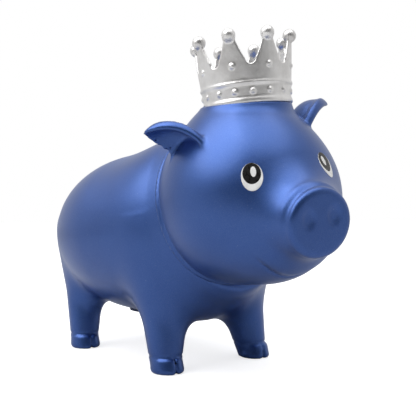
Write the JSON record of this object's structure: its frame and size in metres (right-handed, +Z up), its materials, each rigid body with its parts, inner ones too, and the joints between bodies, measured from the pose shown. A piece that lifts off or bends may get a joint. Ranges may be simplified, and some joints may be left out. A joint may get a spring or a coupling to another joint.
{
  "type": "piggy bank",
  "caption": "Hollow vinyl piggy bank in pearl blue with a separate turning head, a silver crown, a coin slot along the back and a soft stopper in the belly.",
  "frame": {"origin": "on the ground, under the middle of the pig's overall box, a little in front of the middle of its four feet", "axes": "+Z up, the pig's body faces -Y, +X towards the pig's own left side; the head is turned and tipped a little towards the pig's right"},
  "size_m": [0.1526, 0.2971, 0.2262],
  "materials": {
    "pearl_blue_body": "satin pearl blue paint on rotation-moulded soft vinyl",
    "pearl_blue_head": "satin pearl blue paint on rotation-moulded soft vinyl",
    "silver_paint": "slightly rough silver paint on moulded vinyl",
    "joint_plastic": "plain moulded plastic, hidden inside",
    "plug_rubber": "matt dark blue soft vinyl",
    "eye_white": "glossy white printed ink",
    "eye_black": "glossy black printed ink"
  },
  "bodies": {
    "body": {"body_shell": "pearl_blue_body", "neck_collar": "joint_plastic", "neck_ring": "joint_plastic"},
    "head": {"head_shell": "pearl_blue_head", "crown": "silver_paint", "eye_white_left": "eye_white", "eye_pupil_left": "eye_black", "eye_glint_left": "eye_white", "eye_white_right": "eye_white", "eye_pupil_right": "eye_black", "eye_glint_right": "eye_white"},
    "plug": {"belly_plug": "plug_rubber"}
  },
  "joints": [
    {"name": "head_swivel", "type": "hinge", "parent": "body", "child": "head", "pos_m": [0.0033, -0.0379, 0.1114], "axis": [0, -0.9613, 0.2756], "continuous": true},
    {"name": "plug_pull", "type": "slide", "parent": "body", "child": "plug", "axis": [0, 0, -1], "range_m": [0, 0.028]}
  ]
}
